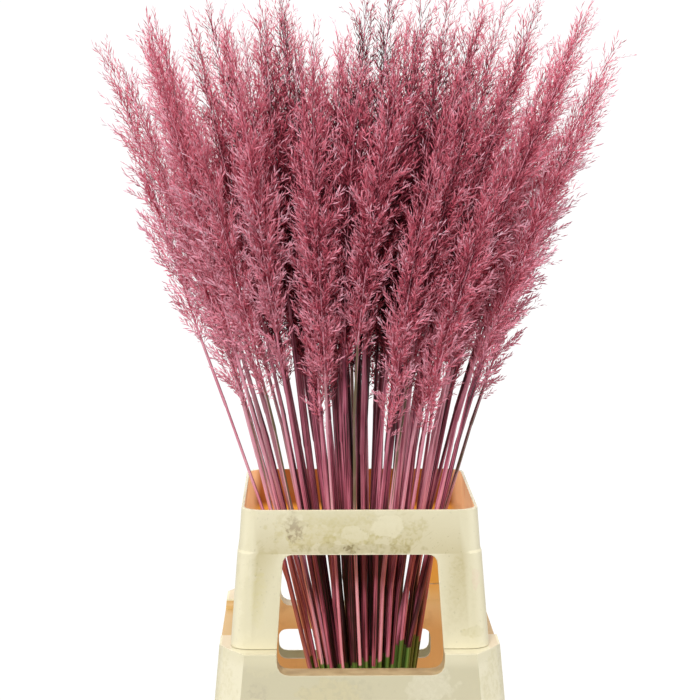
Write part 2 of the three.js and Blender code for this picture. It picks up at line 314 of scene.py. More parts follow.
# Each stain's place and reach on the front, in millimetres, its strength, how much grains break it up, and
# its colour.
STAINS = [
    ((-20, 325), (56, 9), 0.6, 0.4, "#B3A660"),
    ((-50, 313), (34, 16), 0.6, 0.6, "#BFAF62"),
    ((-63, 316), (10, 13), 0.95, 0.85, "#7C5A0C"),
    ((-2, 312), (32, 17), 0.7, 0.65, "#B8A955"),
    ((38, 312), (26, 17), 0.7, 0.75, "#AF9F4E"),
    ((28, 316), (17, 12), 0.75, 0.0, "#E9E2C4"),
    ((-6, 309), (12, 8), 0.6, 0.1, "#E6DFC0"),
    ((2, 295), (54, 6), 0.45, 0.5, "#A0925E"),
    ((-8, 295), (12, 4), 0.8, 0.85, "#786630"),
    ((-98, 250), (8, 30), 0.6, 0.6, "#D8CC74"),
    ((-90, 240), (26, 60), 0.5, 0.2, "#C4B988"),
    ((107, 216), (12, 6), 0.9, 0.5, "#B3A44A"),
    ((112, 266), (4, 11), 0.6, 0.5, "#DB9C94"),
    ((96, 250), (18, 34), 0.3, 0.9, "#B9AB6E"),
    ((-98, 166), (9, 11), 0.9, 0.7, "#6E5628"),
    ((-28, 162), (30, 14), 0.95, 0.4, "#B9A233"),
    ((-18, 165), (40, 14), 0.75, 0.85, "#75672C"),
    ((68, 169), (24, 15), 0.8, 0.4, "#D5D0C0"),
    ((130, 172), (14, 26), 0.6, 0.85, "#B9A948"),
    ((-136, 172), (14, 26), 0.5, 0.9, "#B9A952"),
]


def patch_at(material, place, at, reach, ragged):
    """A soft ball round a place on the front, with a ragged edge."""
    (across, up), (wide, tall) = at, reach
    centre = (across * MM, COLLAR_FRONT, up * MM)
    moved = node(material, "VectorMath", {0: place, 1: centre}, operation="SUBTRACT").outputs[0]
    size = (wide * MM, STAIN_DEPTH, tall * MM)
    sized = node(material, "VectorMath", {0: moved, 1: size}, operation="DIVIDE")
    length = node(material, "VectorMath", {0: sized.outputs[0]}, operation="LENGTH").outputs["Value"]
    return share(material, maths(material, "ADD", length, ragged), *STAIN_EDGE)


def add_stains(material, place, colour):
    """Lays every stain over a colour."""
    ragged = swing(material, noise_on(material, place, 95, 5.0), 2.2)
    grains = share(material, noise_on(material, place, 240, 6.0, distortion=0.5), 0.42, 0.64)
    for at, reach, strength, grain, stain in STAINS:
        patch = patch_at(material, place, at, reach, ragged)
        grainy = node(material, "MapRange", {"Value": grains, "To Min": 1 - grain}).outputs["Result"]
        colour = mixed(material, product(material, patch, grainy, strength), colour, as_lit(stain))
    return colour


print("stains on the front:", len(STAINS))

# %% [markdown]
# ### The rim's glow and the scratches
#
# At the sides light shines up through the rim, so a strip of its top, beside the collar's foot, looks amber.
# Masks on the place and on the way that the face looks find it. Scratches are noise that changes much faster
# one way than the others, so that it leaves long fine lines.

# %% Glow and scratches
# Where the glow fades in, in millimetres from the collar's side and from the rim's top.
GLOW_INNER = (-2, 1)
GLOW_OUTER = (9.5, 8.5)
GLOW_BELOW = (-2, -1)
GLOW_ABOVE = (2, 1)


def near(material, value, base, fade):
    """A soft mask that rises from the first to the second of two distances from a base, in millimetres."""
    return share(material, value, base + fade[0] * MM, base + fade[1] * MM)


def rim_glow(material, place):
    """Where the rim's top at the sides lets warm light through: between the collar's foot and the edge."""
    across, _, height = parts_of(material, place)
    aside = absolute(material, across)
    inner = near(material, aside, COLLAR_SIDE, GLOW_INNER)
    outer = near(material, aside, COLLAR_SIDE, GLOW_OUTER)
    level = share(material, looks_to(material)["Z"], 0.7, 0.95)
    below = near(material, height, RIM_TOP, GLOW_BELOW)
    above = near(material, height, RIM_TOP, GLOW_ABOVE)
    return product(material, inner, outer, level, below, above)


def add_scratches(material, place, height, strength):
    """The mask of fine slanting cuts, and a bump of them and of the plastic's slight waves."""
    lean = {"Vector": place, "Rotation": (0, math.radians(38), 0)}
    turned = node(material, "Mapping", lean).outputs["Vector"]
    cuts = noise_on(material, turned, 1.0, 3.0, stretch=(60, 60, 1400))
    fine = share(material, cuts, 0.66, 0.72)
    waves = noise_on(material, place, 22, 2.0)
    deep = maths(material, "MULTIPLY", fine, -0.6)
    level = maths(material, "ADD", deep, waves)
    bump = node(material, "Bump", {"Height": level, "Strength": strength, "Distance": height})
    return fine, bump.outputs["Normal"]


# %% [markdown]
# ### All the layers of the ivory plastic
#
# Broad noise tints the whole surface first. The skirt has painted light on its sides and corners and is
# darker on its two ends. Grime, stains, glow, specks, scratches and worn edges follow, each laid over the
# colour so far by its own mask; the worn edges are paler partly from wear and partly by a painted highlight.
# A grimy surface is also a rougher one.

# %% Ivory plastic
# How far below the rim's top the skirt's painted light and darker ends start and are full, in millimetres.
SKIRT_BELOW_RIM = (-3, -16)


def skirt_lit_and_darker(material, place, colour):
    """Paints light on the skirt's sides and corners below the rim, and makes its two ends darker."""
    on_skirt = near(material, parts_of(material, place)["Z"], RIM_TOP, SKIRT_BELOW_RIM)
    on_end = share(material, absolute(material, looks_to(material)["Y"]), 0.72, 0.95)
    # Painted light on the skirt's sides and corners; the ends, which look front and back, are made darker.
    colour = mixed(material, product(material, on_skirt, 0.6), colour, SKIRT_SIDE_LIT)
    return mixed(material, product(material, on_skirt, on_end), colour, SKIRT_END_DARKER)


def ivory_plastic(name):
    material, shader = new_material(name)
    place = object_coordinates(material)
    broad = noise_on(material, place, 9, 3.0)
    colour = ramp(material, broad, [(0.3, IVORY_PALE), (0.5, IVORY), (0.72, IVORY_WARM)])
    colour = skirt_lit_and_darker(material, place, colour)
    grime = noise_on(material, place, 34, 6.0, distortion=0.6)
    patches = noise_on(material, place, 13, 2.0)
    dirty = product(material, share(material, grime, 0.5, 0.7), share(material, patches, 0.5, 0.62), 0.55)
    colour = mixed(material, dirty, colour, GRIME)
    colour = add_stains(material, place, colour)
    colour = mixed(material, rim_glow(material, place), colour, LIT_THROUGH)
    specks = share(material, noise_on(material, place, 330, 3.0), 0.64, 0.72)
    colour = mixed(material, product(material, specks, 0.5), colour, SPECK)
    fine, normal = add_scratches(material, place, 0.25 * MM, 0.5)
    colour = mixed(material, product(material, fine, 0.4), colour, SCRATCH)
    # The bevels' mark: pale worn edges, which also carry a painted highlight.
    worn_and_highlit = node(material, "Attribute", attribute_name="worn_and_highlit").outputs["Fac"]
    colour = mixed(material, product(material, worn_and_highlit, 0.6), colour, WORN_EDGE_HIGHLIGHT)
    rough = node(material, "MapRange", {"Value": grime, "To Min": 0.36, "To Max": 0.55}).outputs["Result"]
    connect(material, shader, Base_Color=colour, Roughness=rough, Normal=normal)
    return material


ivory = ivory_plastic("ivory_plastic")
print("nodes in the ivory plastic:", len(ivory.node_tree.nodes))

# %% [markdown]
# ## The mouldings' warm insides
#
# Light that falls into the collar passes through the yellowed plastic again and again, so the inner faces
# glow orange at the back, amber below the step line and tan at the sides and in the bucket. Path tracing that
# light through real plastic would be slow and grainy. The glow depends only on where the face is, so height
# and the way the face looks pick the colour, and the inside shines a little with that colour by itself. The
# thin lips of the rim's dips are a third finish: tan at the ends, which is painted shade with patches of
# dirt, and amber at the sides, which is painted light coming through the thin plastic.

# %% Warm inside and thin lips
# Shares of the collar's height, and the colour there.
INSIDE_HEIGHTS = [
    (0.00, "#C89E66"),
    (0.46, "#D0A66C"),
    (0.54, "#D8BA86"),
    (0.58, "#DCB878"),
    (0.62, "#DBA850"),
    (0.87, "#DC9C42"),
    (0.89, "#8A4A1E"),
    (1.00, "#98562A"),
]
INSIDE_SIDES = "#DFAE80"
INSIDE_GRIME = "#8F5F33"
INSIDE_SHADER = {"Roughness": 0.6, "Specular_IOR_Level": 0.2, "Emission_Strength": 0.45}
# The lips' tan is painted shade, with noisy patches of dirt; the amber at the sides is painted light coming
# through.
LIP_SHADED = as_lit("#D8C49A")
LIP_SHADED_DIRTY = as_lit("#B8A27A")
LIP_LIT_THROUGH_AT_SIDE = as_lit("#D6AE6C")
# From where to where, in metres aside, the lips turn amber with painted light coming through.
SIDE_LIPS_FROM = (0.1, 0.118)


def warm_inside(name):
    material, shader = new_material(name, **INSIDE_SHADER)
    place = object_coordinates(material)
    height = parts_of(material, place)["Z"]
    ends = ramp(material, maths(material, "DIVIDE", height, COLLAR_TOP), INSIDE_HEIGHTS)
    sideways = share(material, absolute(material, looks_to(material)["X"]), 0.3, 0.8)
    above_rim = near(material, height, RIM_TOP, (-5, 0))
    colour = mixed(material, product(material, sideways, above_rim), ends, INSIDE_SIDES)
    grime = share(material, noise_on(material, place, 40, 6.0, distortion=0.4), 0.48, 0.72)
    colour = mixed(material, product(material, grime, 0.3), colour, INSIDE_GRIME)
    _, normal = add_scratches(material, place, 0.25 * MM, 0.4)
    connect(material, shader, Base_Color=colour, Emission_Color=colour, Normal=normal)
    return material


def thin_lip(name):
    """The floor and the ends of the rim's dips: thin plastic in painted shade with patches of dirt, and amber
    painted light at the sides.
    """
    material, shader = new_material(name, Roughness=0.5)
    place = object_coordinates(material)
    ends = ramp(material, noise_on(material, place, 60, 5.0), [(0.35, LIP_SHADED), (0.65, LIP_SHADED_DIRTY)])
    across = parts_of(material, place)["X"]
    at_side = share(material, absolute(material, across), *SIDE_LIPS_FROM)
    colour = mixed(material, at_side, ends, LIP_LIT_THROUGH_AT_SIDE)
    connect(material, shader, Base_Color=colour)
    return material


amber = warm_inside("warm_inside")
lip = thin_lip("thin_lip")
print("heights of the warm inside's colours:", [height for height, _ in INSIDE_HEIGHTS])

# %% [markdown]
# ## The bucket and its collar
#
# Both are injection mouldings about 3 mm thick, and no moulded edge is knife sharp. The solids in the frame
# have the exact form, as loose triangles. A copy of each is merged, its flat faces are joined again, and its
# hard edges are bevelled, so that they catch a thin line of light. Cutting the shape anew would risk a bucket
# that no longer fits its frame.

# %% Make a piece of a bmesh
def as_piece(bm, name, materials):
    """Makes an object of a bmesh, at the origin, riding on the frame's only body."""
    mesh = bpy.data.meshes.new(name)
    bm.to_mesh(mesh)
    bm.free()
    for material in materials:
        mesh.materials.append(material)
    piece = bpy.data.objects.new(name, mesh)
    bpy.context.collection.objects.link(piece)
    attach(piece, "root")
    return piece


# %% [markdown]
# ### Which face wears which finish
#
# The outside is ivory, the inside is warm, and the rim's dips have thin lips. Where a face is and which way
# it looks tell them apart: a face is inside where it lies near the middle and looks back towards it.

# %% Tell the faces apart
BUCKET_REACH = (122 * MM, 143 * MM)
COLLAR_REACH = (124 * MM, 145 * MM)
FLOOR_BELOW = 50 * MM
# Where the lips are, in millimetres.
LIP_HEIGHTS = (176, 198.5)
END_LIPS = {"deep": 141, "across": 90}
SIDE_LIPS = {"across": 120, "deep": 90}


def faces_inwards(face, reach):
    """Whether a face is on the inside wall or floor, within reach of the middle."""
    middle = face.calc_center_median()
    if abs(middle.x) > reach[0] or abs(middle.y) > reach[1]:
        return False
    if face.normal.z > 0.7:
        return middle.z < FLOOR_BELOW
    across, deep = middle.x / reach[0], middle.y / reach[1]
    outwards = Vector((across, 0)) if abs(across) > abs(deep) else Vector((0, deep))
    return face.normal.xy.dot(outwards) < -0.05


def on_lip(face):
    """Whether a face is the floor or an end of one of the rim's dips."""
    middle = face.calc_center_median() / MM
    across, deep = abs(middle.x), abs(middle.y)
    if not LIP_HEIGHTS[0] < middle.z < LIP_HEIGHTS[1]:
        return False
    if face.normal.z > 0.5:
        return True
    at_end = deep > END_LIPS["deep"] and across < END_LIPS["across"] and abs(face.normal.x) > 0.4
    at_side = across > SIDE_LIPS["across"] and deep < SIDE_LIPS["deep"] and abs(face.normal.y) > 0.4
    return at_end or at_side


def finish_of(face, solid, reach):
    """The number of a face's material: 0 the ivory, 1 the warm inside, 2 a thin lip."""
    if faces_inwards(face, reach):
        return 1
    return 2 if solid == "bucket" and on_lip(face) else 0


# %% [markdown]
# ### Two corrections to the collar
#
# The step round the collar shows only at its four corners, so between them the front and the back are pulled
# flat. The back window's upper edge hangs a little lower than the front one's, and the front band hides it.
# Both are a few millimetres, too little to matter to the solids, so only the copy's vertices are moved.

# %% Correct the collar
# Where the step's vertices are, and how deep the collar is at the rim and at its top, in millimetres.
STEP = {"low": 290, "high": 292.5, "deep": 128, "across": 99}
COLLAR_DEPTHS = (146, 125)
# Where the back window's upper edge is, and how far it drops over how much height, in millimetres.
BACK_EDGE = {"deep": 100, "across": 76, "low": 279.5, "high": 289.6, "drop": 3.6, "over": 10}


def fade_step(bm):
    """Pulls the step's vertices on the front and the back into the plane of the wall."""
    low, high = RIM_TOP / MM, COLLAR_TOP / MM
    at_rim, at_top = COLLAR_DEPTHS
    for vert in bm.verts:
        x, y, z = vert.co / MM
        if STEP["low"] < z < STEP["high"] and abs(y) > STEP["deep"] and abs(x) < STEP["across"]:
            wall = at_rim + (at_top - at_rim) * (z - low) / (high - low)
            vert.co.y = math.copysign(wall, y) * MM


def lower_back_edge(bm):
    """Bends the back window's upper edge downwards."""
    low, high, drop, over = (BACK_EDGE[key] for key in ("low", "high", "drop", "over"))
    for vert in bm.verts:
        x, y, z = vert.co / MM
        if y > BACK_EDGE["deep"] and abs(x) < BACK_EDGE["across"] and low < z < high:
            vert.co.z -= (z - low) / over * drop * MM


# %% [markdown]
# ### Soft edges
#
# A bevel needs clean edges, so doubles are merged and flat triangles joined before it. Its new vertices are
# marked as worn, and the ivory is paler there: partly wear, as rubbed plastic is, and partly a painted
# highlight along the edge. The Weighted Normal modifier keeps the large faces flat, although the whole
# moulding is shaded smooth.

# %% Round the moulded edges
WELD = 0.01 * MM
FLAT = math.radians(0.6)
HARD_EDGE = math.radians(32)
EDGE_RADIUS = 0.9 * MM


def moulding(solid, name, reach):
    bm = bmesh.new()
    bm.from_mesh(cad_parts[solid].data)
    bmesh.ops.remove_doubles(bm, verts=bm.verts, dist=WELD)
    if solid == "collar":
        fade_step(bm)
        lower_back_edge(bm)
    bmesh.ops.dissolve_limit(bm, angle_limit=FLAT, verts=bm.verts, edges=bm.edges)
    hard = [e for e in bm.edges if e.is_manifold and e.calc_face_angle() > HARD_EDGE]
    worn_and_highlit = bm.verts.layers.float.new("worn_and_highlit")
    rounded = bmesh.ops.bevel(
        bm, geom=hard, offset=EDGE_RADIUS, offset_type="OFFSET", segments=2, profile=0.5,
        affect="EDGES", clamp_overlap=True, material=-1,
    )
    # Bevel vertices carry the mark for pale worn edges with their painted highlight.
    for vert in rounded["verts"]:
        vert[worn_and_highlit] = 1.0
    for face in bm.faces:
        face.material_index = finish_of(face, solid, reach)
        face.smooth = True
    print(name, "hard edges rounded:", len(hard), "faces:", len(bm.faces))
    piece = as_piece(bm, name, [ivory, amber, lip])
    weighted = piece.modifiers.new("even_shading", "WEIGHTED_NORMAL")
    weighted.keep_sharp = True
    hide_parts(solid)


moulding("bucket", "flower_bucket", BUCKET_REACH)
moulding("collar", "bucket_collar", COLLAR_REACH)

# %% [markdown]
# ## Where the stems stand
#
# The stems stand on a disc at the bucket's floor and fan out with height, a little twisted, as a sheaf does
# when it is turned in the hand. The solids in the frame were grown by one rule with seeded random numbers.
# The same rule is repeated here, in millimetres, so each fine stem stands where its solid is.

# %% The rule for the stems
PAIRS = 42
BUNCH_RADIUS = 33
BUNCH_LEAN = {"start": 14, "slope": -0.074, "square": 8e-5}
SPREAD = {"linear": 0.0833, "square": 3.57e-4, "cube": -1.03e-7, "depth_share": 0.84}
TWIST = math.radians(12)
TALLEST = 845
EDGE_DROP = 42
FRONT_DROP = 34
LENGTH_VARIATION = 88
EASING_ROUNDS = 80
STEM_BOTTOM = 3.4
PLUME_LENGTH = {"least": 280, "most": 330, "lean_loss": 0.09}
GOLDEN = math.pi * (3 - math.sqrt(5))
SEED = 20250613
drawn = SEED


def draw(least=0.0, most=1.0):
    """A seeded random number, each worked out from the last one drawn."""
    global drawn
    drawn = (drawn * 16807) % 2147483647
    return least + (most - least) * drawn / 2147483647


def ease_apart(sites, pitch):
    """Pushes stems that are closer than the pitch apart, and pulls them back into the bunch."""
    for i, here in enumerate(sites):
        for there in sites[i + 1:]:
            dx, dy = there[0] - here[0], there[1] - here[1]
            distance = math.sqrt(dx * dx + dy * dy)
            if distance >= pitch:
                continue
            push = (pitch - distance) / distance / 4
            here[0] -= dx * push
            here[1] -= dy * push
            there[0] += dx * push
            there[1] += dy * push
    for site in sites:
        pull = min(1, BUNCH_RADIUS / math.hypot(*site))
        site[0] *= pull
        site[1] *= pull


def bunch_sites():
    """Where the stems' feet stand, in pairs on a spiral, eased apart."""
    sites = []
    pitch = BUNCH_RADIUS * math.sqrt(2 * math.pi / (math.sqrt(3) * 2 * PAIRS))
    for pair in range(PAIRS):
        distance = (BUNCH_RADIUS - pitch / 3) * math.sqrt((pair + 0.5) / PAIRS)
        angle = pair * GOLDEN
        split = draw() * math.pi
        for side in (-1, 1):
            along = side * pitch / 2
            x = distance * math.cos(angle) + along * math.cos(split)
            y = distance * math.sin(angle) + along * math.sin(split)
            sites.append([x, y])
    for _ in range(EASING_ROUNDS):
        ease_apart(sites, pitch)
    return sites


def axis_at(site, z):
    """The middle of a stem at a height, in millimetres."""
    growth = SPREAD["linear"] * z + SPREAD["square"] * z ** 2 + SPREAD["cube"] * z ** 3
    turn = TWIST * z / TALLEST
    x = site[0] * math.cos(turn) - site[1] * math.sin(turn)
    y = site[0] * math.sin(turn) + site[1] * math.cos(turn)
    middle = BUNCH_LEAN["start"] + BUNCH_LEAN["slope"] * z + BUNCH_LEAN["square"] * z ** 2
    wide = 1 + growth / BUNCH_RADIUS
    deep = 1 + SPREAD["depth_share"] * growth / BUNCH_RADIUS
    return Vector((middle + wide * x, deep * y, z))


def grow_stems():
    """Each stem's site, how near the edge it is, and the heights of its plume's base and tip."""
    stems = []
    for site in bunch_sites():
        edge = (site[0] ** 2 + site[1] ** 2) / BUNCH_RADIUS ** 2
        front = max(0, -site[1] / BUNCH_RADIUS)
        tip = TALLEST - EDGE_DROP * edge - FRONT_DROP * front - LENGTH_VARIATION * draw() ** 1.5
        length = PLUME_LENGTH["least"] + (PLUME_LENGTH["most"] - PLUME_LENGTH["least"]) * draw()
        height = length * (1 - PLUME_LENGTH["lean_loss"] * edge)
        # The solids' rule draws one number more for each stem, for its sprigs.
        draw()
        stems.append({"site": site, "edge": edge, "tip": tip, "base": tip - height})
    return stems


stems = grow_stems()
print("stems:", len(stems), "tallest tip:", round(max(s["tip"] for s in stems)), "mm")

# %% [markdown]
# ## Dyed stems, with painted shade
#
# Dye takes unevenly: some stems are bright mauve, some deep red-brown, a few stayed grey-green, and every
# stem was dipped from above, so its lowest end is green with a ragged edge. Inside the collar little light
# reaches the stems, so they are painted darker there, and stems in the middle of the bunch get a darker tint:
# both are painted shade. Fine grooves run along a stem. Each vertex carries two things that the material
# reads: `straight`, its place before the stem was bent, so that the grooves follow the stem, and `tint`, how
# pale its dye is, with the painted shade of the bunch's middle in it.

# %% Dyed stem
STEM_TINTS = [
    (0.00, "#241013"),
    (0.16, "#642838"),
    (0.34, "#A65268"),
    (0.58, "#D28598"),
    (0.82, "#E6A9B7"),
    (0.93, "#B98D93"),
    (1.00, "#6E6248"),
]
STEM_GREENS = [(0.3, "#39551F"), (0.5, "#4F6E2C"), (0.7, "#73904A")]
# How much darker the stems are painted inside the collar, as painted shade.
PAINTED_SHADE_INSIDE = 0.23
# The heights, in metres, at which the painted shade on the stems starts and is at its darkest.
SHADE_INSIDE_FROM = (0.36, 0.26)
DYE_EDGE = 160 * MM
DYE_EDGE_VARIES = 32 * MM
# How much the dye's edge rises for each metre to the right.
DYE_EDGE_LEANS = 0.18


def dyed_shaded_stem(name):
    material, shader = new_material(name, Roughness=0.38)
    straight = node(material, "Attribute", attribute_name="straight").outputs["Vector"]
    tint = node(material, "Attribute", attribute_name="tint").outputs["Fac"]
    streaks = noise_on(material, straight, 1.0, 4.0, stretch=(900, 900, 9))
    blotches = noise_on(material, straight, 1.0, 3.0, stretch=(60, 60, 26))
    streaky = maths(material, "ADD", tint, swing(material, streaks, 1.5))
    height = parts_of(material, straight)["Z"]
    # Painted shade: the stems are darkened towards the collar's inside.
    inside = maths(material, "MULTIPLY", share(material, height, *SHADE_INSIDE_FROM), -PAINTED_SHADE_INSIDE)
    blotchy = maths(material, "ADD", swing(material, blotches, 0.5), inside)
    colour = ramp(material, maths(material, "ADD", streaky, blotchy), STEM_TINTS)
    dipped = noise_on(material, straight, 1.0, 0.0, stretch=(13, 0, 0))
    ragged = maths(material, "ADD", height, swing(material, dipped, 2 * DYE_EDGE_VARIES))
    aside = parts_of(material, object_coordinates(material))["X"]
    level = maths(material, "ADD", ragged, maths(material, "MULTIPLY", aside, -DYE_EDGE_LEANS))
    green = ramp(material, streaks, STEM_GREENS)
    colour = mixed(material, share(material, level, DYE_EDGE + 2 * MM, DYE_EDGE), colour, green)
    grooves = node(material, "Bump", {"Height": streaks, "Strength": 0.7, "Distance": 0.4 * MM})
    connect(material, shader, Base_Color=colour, Normal=grooves.outputs["Normal"])
    return material


# %% [markdown]
# ## Dyed spikelets, with painted light and shade
#
# A husk is papery and almost without gloss. Its colour runs from wine red in the middle of a plume to pale
# pink at its outline: that run is painted shade and painted light, which the husk's own `tint` carries. A
# ramp turns the `tint` into the colour, and broad noise moves it a little, so whole clumps are paler or
# deeper than their neighbours.

# %% Dyed spikelet
SPIKELET_TINTS = [
    (0.00, "#4A131F"),
    (0.20, "#953246"),
    (0.42, "#CE6274"),
    (0.62, "#DE8495"),
    (0.82, "#E5A0B1"),
    (1.00, "#EBBFCD"),
]


def dyed_shaded_spikelet(name):
    material, shader = new_material(name, Roughness=0.6, Specular_IOR_Level=0.2)
    tint = node(material, "Attribute", attribute_name="tint").outputs["Fac"]
    clumps = noise_on(material, object_coordinates(material), 14, 2.0)
    colour = ramp(material, maths(material, "ADD", tint, swing(material, clumps, 0.35)), SPIKELET_TINTS)
    connect(material, shader, Base_Color=colour)
    return material


stem_skin = dyed_shaded_stem("dyed_shaded_stem")
husk = dyed_shaded_spikelet("dyed_shaded_spikelet")
print("grass materials:", stem_skin.name, husk.name)

# %% [markdown]
# ## One spikelet
#
# A plume is thousands of spikelets, each a folded husk on a hair-thin stalk, 8 to 11 mm long in all. A husk
# that is drawn thousands of times has to be cheap. A cone with three sides has only four faces, and one shear
# makes it a husk: its first corner becomes the foot, and the other two rise to be the husk's open lips.

# %% Shape a husk
# A cone of height 1 is made round its middle, and this lifts its foot to the origin.
ON_FOOT = Matrix.Translation((0, 0, 0.5))
HUSK_WIDEST = 0.56
HUSK_LIFT = HUSK_WIDEST / 1.5
HUSK_FORM = Matrix((
    (1, 0, 0, 0),
    (0, 1, 0, -1),
    (0, -HUSK_LIFT, 1 - HUSK_LIFT, HUSK_LIFT),
    (0, 0, 0, 1),
)) @ ON_FOOT
# The foot is painted darker than the two lips, as painted shade, and the point paler, as a painted highlight.
HUSK_SHADES = (-0.16, 0.0, 0.0, 0.12)


def add_cone(bm, length, radius, place, tint, form=ON_FOOT):
    """A slim closed cone with three sides, from its foot to its point, or what a form makes of it."""
    sized = place @ Matrix.Diagonal((radius, radius, length, 1)) @ form
    made = bmesh.ops.create_cone(bm, cap_ends=True, segments=3, radius1=1, radius2=0, depth=1, matrix=sized)
    layer = bm.verts.layers.float["tint"]
    for vert, shade in zip(made["verts"], HUSK_SHADES):
        vert[layer] = tint + shade


def aimed(start, direction, spin):
    """The matrix that puts something grown along +Z at a start, aimed along a direction."""
    turn = direction.to_track_quat("Z", "X").to_matrix().to_4x4()
    return Matrix.Translation(start) @ turn @ Matrix.Rotation(spin, 4, "Z")


# %% [markdown]
# ## One spray
#
# A spray is a thin twig, bare at its foot, with husks set round it by the golden angle, each leaning out at
# its own angle, so that the spray is a loose tuft and no comb. A few sprays of each kind are modelled once,
# and copies of them, turned and sized, make every plume.

# %% Model the sprays
HUSK_LENGTH = (7.5 * MM, 11.0 * MM)
HUSK_RADIUS = {"dense": 0.86 * MM, "open": 0.6 * MM}
HUSK_LEAN = (math.radians(13), math.radians(50))
HUSK_TINT = (-0.05, 0.5)
HUSK_THICKNESS = (0.75, 1.2)
HUSK_STRAYS = 0.8
TWIG_RADIUS = 0.34 * MM
TWIG_STRAYS = 0.12
BARE_TWIG = 0.18
SPRAYS_OF_EACH = 7
# Length, the distance from husk to husk, how far the tip curves out as a share of the length, and the husks.
SPRAY_KINDS = {
    "long": (44 * MM, 1.75 * MM, (-0.05, 0.25), "dense"),
    "medium": (34 * MM, 1.75 * MM, (-0.08, 0.25), "dense"),
    "short": (24 * MM, 1.7 * MM, (-0.1, 0.22), "dense"),
    "loose": (40 * MM, 3.0 * MM, (-0.2, 0.26), "open"),
    "tip": (26 * MM, 3.0 * MM, (-0.2, 0.2), "open"),
    "wisp": (54 * MM, 3.5 * MM, (0.0, 0.34), "open"),
}


def spray_mesh(length, spacing, curve, husks):
    """A curved twig with its husks, which lean less and get smaller towards its tip."""
    outward = draw(*curve) * length
    sideways = draw(-TWIG_STRAYS, TWIG_STRAYS) * length

    def twig_at(along):
        return Vector((outward * along ** 2, sideways * along ** 2, length * along))

    bm = bmesh.new()
    bm.verts.layers.float.new("tint")
    add_cone(bm, length, TWIG_RADIUS, Matrix.Identity(4), 0.0)
    twig = [e for e in bm.edges if e.calc_length() > length / 2]
    bmesh.ops.subdivide_edges(bm, edges=twig, cuts=1)
    for vert in bm.verts:
        vert.co += twig_at(vert.co.z / length) - Vector((0, 0, vert.co.z))
    count = round(length * (1 - BARE_TWIG) / spacing)
    for i in range(count):
        along = BARE_TWIG + (1 - BARE_TWIG) * (i + draw()) / count
        start = twig_at(along * 0.97)
        ahead = (twig_at(along + 0.05) - start).normalized()
        around = Matrix.Rotation(i * GOLDEN + draw(-HUSK_STRAYS, HUSK_STRAYS), 3, ahead)
        aside = around @ ahead.orthogonal().normalized()
        lean = draw(*HUSK_LEAN) * (1.15 - 0.5 * along)
        direction = ahead * math.cos(lean) + aside * math.sin(lean)
        size = draw(*HUSK_LENGTH) * (1.05 - 0.2 * along)
        place = aimed(start, direction, draw(0, math.tau))
        radius = HUSK_RADIUS[husks] * draw(*HUSK_THICKNESS)
        add_cone(bm, size, radius, place, draw(*HUSK_TINT), HUSK_FORM)
    mesh = bpy.data.meshes.new("spray")
    bm.to_mesh(mesh)
    bm.free()
    return mesh


sprays = {kind: [spray_mesh(*how) for _ in range(SPRAYS_OF_EACH)] for kind, how in SPRAY_KINDS.items()}
print("faces of each kind of spray:", {kind: len(made[0].polygons) for kind, made in sprays.items()})

# %% [markdown]
# ## A stem with its plume
#
# Everything is grown along a straight, upright axis, because rings and rotations are easy there, and one move
# bends it at the end. The stem is a circle extruded from ring to ring, thicker at its joint and where a leaf
# sheath wraps it. Stems in the middle of the bunch are thicker, so they close the gaps in the window.

# %% Grow the stem
STEM_SIDES = 8
STEM_RADIUS = (1.5 * MM, 2.65 * MM)
THICKER_INSIDE = (1.2, 0.4)
JOINT_HEIGHT = (0.17, 0.3)
SHEATH_HEIGHT = (0.36, 0.44)
STEM_POINT = 6 * MM
DYE_IN_PLUME = 0.6


def stem_rings(stem):
    """Heights and radii of a stem, in metres, from its cut foot to the plume's tip."""
    middle, less = THICKER_INSIDE
    radius = draw(*STEM_RADIUS) * (middle - less * stem["edge"])
    base, tip = stem["base"] * MM, stem["tip"] * MM
    joint = draw(*JOINT_HEIGHT)
    sheath = draw(*SHEATH_HEIGHT)
    return [
        (STEM_BOTTOM * MM, radius * 1.15),
        (0.09, radius * 1.2),
        (joint - 0.004, radius * 1.24),
        (joint, radius * 1.4),
        (joint + 0.004, radius * 1.32),
        (sheath, radius * 0.94),
        (sheath + 0.003, radius * 1.12),
        (base - 0.02, radius * 0.95),
        (base + 0.01, radius * 0.55),
        (base + (tip - base) * 0.3, radius * 0.34),
        (base + (tip - base) * 0.6, radius * 0.24),
        (base + (tip - base) * 0.85, radius * 0.16),
        (tip - STEM_POINT, radius * 0.08),
    ]


def add_stem(bm, stem, tint):
    """Extrudes a circle from ring to ring and closes it in a point."""
    rings = stem_rings(stem)
    start = Matrix.Translation((0, 0, rings[0][0]))
    bmesh.ops.create_circle(bm, cap_ends=True, segments=STEM_SIDES, radius=rings[0][1], matrix=start)
    bmesh.ops.reverse_faces(bm, faces=bm.faces)
    edges = list(bm.edges)
    for (low, small), (high, large) in zip(rings, rings[1:]):
        grown = bmesh.ops.extrude_edge_only(bm, edges=edges)["geom"]
        edges = [part for part in grown if isinstance(part, bmesh.types.BMEdge)]
        verts = [part for part in grown if isinstance(part, bmesh.types.BMVert)]
        bmesh.ops.translate(bm, verts=verts, vec=(0, 0, high - low))
        bmesh.ops.scale(bm, verts=verts, vec=(large / small, large / small, 1))
    bmesh.ops.pointmerge(bm, verts=verts, merge_co=(0, 0, rings[-1][0] + STEM_POINT))
    layer = bm.verts.layers.float["tint"]
    for vert in bm.verts:
        vert[layer] = tint if vert.co.z < stem["base"] * MM else DYE_IN_PLUME


# %% [markdown]
# ### The plume
#
# A plume is widest in its lower third and ends in a fine tip. Its sprays stand in a spiral, dense ones below
# and loose ones at the tip. About a quarter of all are long wisps, which make its outline feathery.

